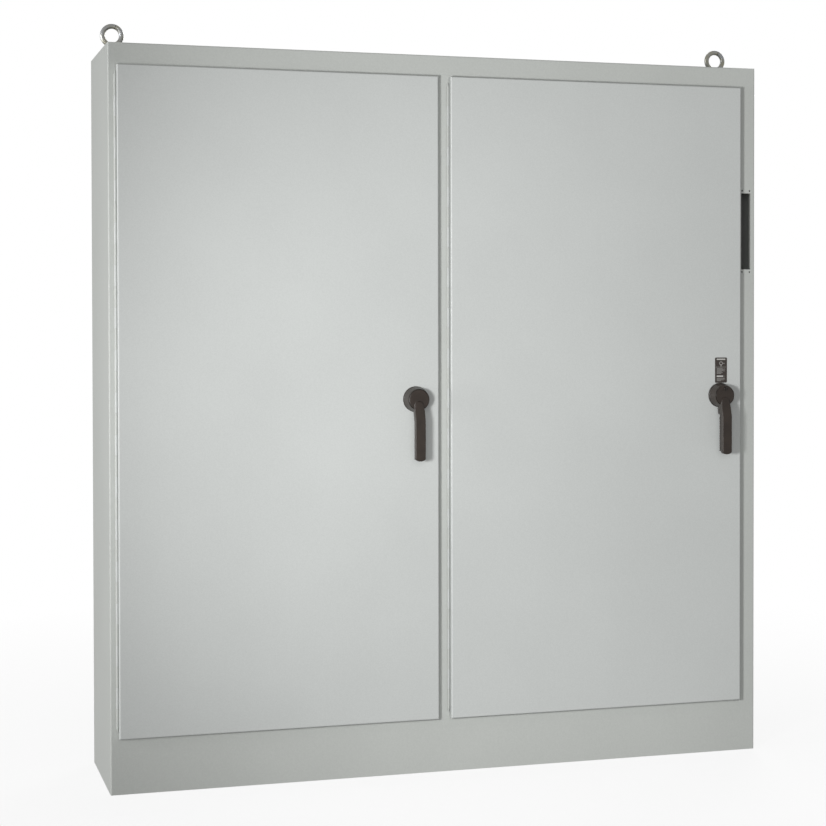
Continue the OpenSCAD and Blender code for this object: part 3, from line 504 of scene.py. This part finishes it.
# node: (finish, edge radius)
LOOKS = {
    "cabinet_paint": {"left_side_panel": 0, "right_side_panel": 0, "top_panel": 0, "base_panel": 0,
                      "back_panel": 0, "centre_post": 0, "frame_hinge_leaves": 0.0004,
                      "hinge_pins": 0.0004},
    "door_paint": {"left_door": 0.0006, "right_door": 0.0006, "left_door_stiffeners": 0.0005,
                   "right_door_stiffeners": 0.0005, "left_door_hinge_leaf": 0.0004,
                   "right_door_hinge_leaf": 0.0004, "document_pocket": 0.0005},
    "white_enamel": {"mounting_panel": 0.0008},
    "eye_zinc": {"lifting_eyes": 0.0008},
    "zinc_plate": {"panel_studs": 0.0004,
                   "left_latch_cam": 0.0006, "right_latch_cam": 0.0006,
                   "left_upper_latch_rod": 0.0006, "left_lower_latch_rod": 0.0006,
                   "right_upper_latch_rod": 0.0006, "right_lower_latch_rod": 0.0006},
    "frame_steel": {"switch_frame": 0.0008},
    "handle_brown": {"left_handle": 0.0022, "right_handle": 0.0022},
    # The handle bases and the trigger take the darker coat, which is painted shade.
    "handle_base_brown": {"left_handle_base": 0.0012, "right_handle_base": 0.0012,
                          "right_handle_trigger": 0.001},
    "instruction_print": {"instruction_plate": 0.0002},
    "gasket_foam": {"left_door_gasket": 0.001, "right_door_gasket": 0.001},
    "roller_nylon": {"left_upper_roller": 0.0008, "left_lower_roller": 0.0008,
                     "right_upper_roller": 0.0008, "right_lower_roller": 0.0008},
    "bushing_bronze": {"shaft_bearings": 0.0006},
    "black_screw": {"interlock_screw": 0.0004},
    "shaft_glastic": {"main_shaft": 0.0008},
    "pole_polyester": {"pole_bases": 0.0015},
    "chute_fibre": {"arc_chutes": 0.0005},
    "bar_copper": {"moving_blades": 0.0006, "normal_terminals": 0.0006,
                   "emergency_terminals": 0.0006, "load_terminals": 0.0006},
    "busbar_copper": {"busbars": 0.0006},
    "neutral_copper": {"neutral_bar": 0.0006},
    "ground_copper": {"ground_bar": 0.0005},
    "gear_steel": {"sector_gear": 0.0005, "motor_pinion": 0.0004},
    "motor_grey": {"gear_motor": 0.0012},
    "lever_red": {"manual_handle": 0.0015},
    "support_red": {"bus_supports": 0.0012},
    "case_grey": {"controller_case": 0.0015},
    "toggle_black": {"breaker_toggle": 0.001},
    "button_green": {"test_button": 0.0008},
    "button_red": {"reset_button": 0.0008},
    "transformer": {"control_transformer": 0.001},
    "breaker_black": {"service_breaker": 0.0012},
}
for finish, parts in LOOKS.items():
    for name, width in parts.items():
        part = nodes[name]
        part.data.materials.clear()
        part.data.materials.append(finishes[finish])
        for face in part.data.polygons:
            face.material_index = 0
        ease_edges(part, width, FINER if name == "right_handle" else None)


# ---------------------------------------------------------------- small pieces that are only looks

def pick(piece, chosen):
    """Selects the faces whose middle is chosen, and nothing else, ready for edit mode."""
    bpy.ops.object.mode_set(mode="EDIT")
    bpy.ops.mesh.select_mode(type="FACE")
    bpy.ops.mesh.select_all(action="DESELECT")
    bpy.ops.object.mode_set(mode="OBJECT")
    for face in piece.data.polygons:
        face.select = chosen(face.center)
    bpy.ops.object.mode_set(mode="EDIT")


def finish_piece(piece, name, look, bevel):
    """Bevels a modelled piece's edges and fixes it to the cabinet."""
    bpy.ops.object.mode_set(mode="OBJECT")
    edge = piece.modifiers.new("edge", "BEVEL")
    edge.limit_method, edge.angle_limit = "ANGLE", SHARP
    edge.width, edge.segments = bevel, 2
    bpy.ops.object.modifier_apply(modifier="edge")
    bpy.ops.object.shade_smooth_by_angle(angle=SHARP)
    piece.name = piece.data.name = name
    piece.data.materials.append(finishes[look])
    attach(piece, "enclosure")


def screws(name, spots, radius, sides, look="black_screw"):
    """Screw heads on their washers, facing the front. spots are where they meet the face."""
    washer, rise = radius * 0.25, radius * 0.75
    for number, (x, y, z) in enumerate(spots, 1):
        bpy.ops.object.select_all(action="DESELECT")
        bpy.ops.mesh.primitive_cylinder_add(
            vertices=32, radius=radius * 1.4, depth=washer, location=(x, y - washer / 2, z),
            rotation=(math.pi / 2, 0, 0))
        piece = bpy.context.object
        bpy.ops.object.transform_apply(location=True, rotation=True, scale=True)
        bpy.ops.object.mode_set(mode="EDIT")
        bpy.ops.mesh.primitive_cylinder_add(
            vertices=sides, radius=radius, depth=rise, location=(x, y - washer - rise / 2, z),
            rotation=(math.pi / 2, 0, 0))
        front = y - washer - rise
        pick(piece, lambda middle: middle.y < front + 0.00001)
        # A driver's socket in a round head, a shallow maker's dish in a hexagon head
        bpy.ops.mesh.inset(thickness=radius * (0.5 if sides > 6 else 0.25), depth=0)
        bpy.ops.mesh.inset(thickness=radius * 0.02, depth=-rise * (0.5 if sides > 6 else 0.12))
        finish_piece(piece, f"{name}_{number}", look, radius * 0.1)


def display_panel(low, high, depth):
    """The controller's display: a glass sunk in a moulded bezel."""
    middle = [(a + b) / 2 for a, b in zip(low, high)]
    bpy.ops.object.select_all(action="DESELECT")
    bpy.ops.mesh.primitive_cube_add(size=1, location=middle)
    piece = bpy.context.object
    bpy.ops.transform.resize(value=[b - a for a, b in zip(low, high)])
    bpy.ops.object.transform_apply(location=True, rotation=True, scale=True)
    pick(piece, lambda centre: centre.y < low[1] + 0.00001)
    bpy.ops.mesh.inset(thickness=0.005, depth=0)
    bpy.ops.mesh.inset(thickness=0.0006, depth=-depth)
    finish_piece(piece, "controller_display", "toggle_black", 0.0003)
    piece.data.materials.append(finishes["display_glass"])
    for face in piece.data.polygons:
        inside = (low[0] + 0.0055 < face.center.x < high[0] - 0.0055
                  and low[2] + 0.0055 < face.center.z < high[2] - 0.0055)
        face.material_index = int(inside and face.center.y < middle[1])


screws("breaker_cover_screw", [(x, 0.01, z) for x in (0.475, 0.645) for z in (1.572, 1.758)],
       0.004, 24)
screws("controller_cover_screw", [(x, 0.096, z) for x in (-0.627, -0.373)
                                  for z in (1.673, 1.867)], 0.003, 24)
screws("transformer_foot_screw", [(x, 0.17, 0.56) for x in (0.634, 0.766)], 0.005, 6, "zinc_plate")
display_panel((-0.6145, 0.0945, 1.7605), (-0.4755, 0.0982, 1.8495), 0.0012)


# ---------------------------------------------------------------- studio and camera

# How strongly the white room lights the cabinet, and how much of it shows in its gloss
ROOM_GLOW, ROOM_MIRRORED = 0.17, 0.4


def hang(name, kind, place, aim, power, **settings):
    """A lamp hung at place and pointed at aim."""
    lamp = bpy.data.lights.new(name, kind)
    lamp.energy = power
    for setting, value in settings.items():
        setattr(lamp, setting, value)
    holder = bpy.data.objects.new(name, lamp)
    scene.collection.objects.link(holder)
    holder.location = place
    holder.rotation_euler = (Vector(aim) - Vector(place)).to_track_quat("-Z", "Y").to_euler()
    holder.visible_camera = False
    return holder


def white_room():
    """A white room: full white behind the cabinet, softer where it lights it."""
    world = bpy.data.worlds.new("white_room")
    scene.world = world
    world.use_nodes = True
    room = Graph(world.node_tree)
    seen, glow, mirrored = [
        room.node("ShaderNodeBackground", {}, {"Color": (1, 1, 1, 1), "Strength": strength})
        for strength in (1.0, ROOM_GLOW, ROOM_MIRRORED)]
    in_gloss = room.node("ShaderNodeLightPath", {}, {}, "Is Glossy Ray")
    in_view = room.node("ShaderNodeLightPath", {}, {}, "Is Camera Ray")
    gloss = room.node("ShaderNodeMixShader", {}, {0: in_gloss, 1: glow, 2: mirrored})
    whole = room.node("ShaderNodeMixShader", {}, {0: in_view, 1: gloss, 2: seen})
    room.node("ShaderNodeOutputWorld", {}, {"Surface": whole})


def pale_floor():
    """The studio floor, fading into the white room well away from the cabinet."""
    bpy.ops.mesh.primitive_plane_add(size=24, location=(0, 0, -0.0005))
    floor = bpy.context.object
    floor.name = "studio_floor"
    bpy.ops.object.transform_apply(location=True, rotation=True, scale=True)
    f = Finish("studio_floor")
    x, y, z = f.axes()
    away = ((x * x + y * y) ** 0.5).held(1.0, 3.6) * 0.13 + 0.87
    paint = f.node("ShaderNodeBsdfPrincipled", {}, {"Base Color": (0.93, 0.93, 0.93, 1),
                                                    "Roughness": 0.85})
    clear = f.node("ShaderNodeBsdfTransparent", {}, {})
    faded = f.node("ShaderNodeMixShader", {}, {0: away, 1: paint, 2: clear})
    f.node("ShaderNodeOutputMaterial", {}, {"Surface": faded})
    floor.data.materials.append(f.material)


white_room()
pale_floor()
hang("key_lamp", "SPOT", (-2.1, -3.4, 1.15), (0.95, -0.25, 1.15), 405, spot_size=math.radians(68),
     spot_blend=1, shadow_soft_size=0.28)
hang("front_box", "AREA", (-1.5, -8, 2.2), (0, -0.25, 1.4), 170, size=4).visible_glossy = False
hang("side_box", "AREA", (-6.0, -0.6, 1.6), (-1, 0, 1.2), 180, size=2.5)
hang("back_box", "AREA", (3.5, 6.0, 3.2), (0, 0, 1.0), 240, size=3)

camera = bpy.data.cameras.new("camera")
camera.lens, camera.sensor_width = 87.42, 36
camera.shift_x, camera.shift_y = -0.150, -0.0696
camera.clip_start, camera.clip_end = 0.1, 60
viewer = bpy.data.objects.new("camera", camera)
scene.collection.objects.link(viewer)
viewer.location = (-1.6186, -6.0001, 1.3566)
viewer.rotation_euler = (math.radians(88.93), math.radians(0.03), math.radians(-18.20))
scene.camera = viewer
scene.view_settings.view_transform = "Standard"
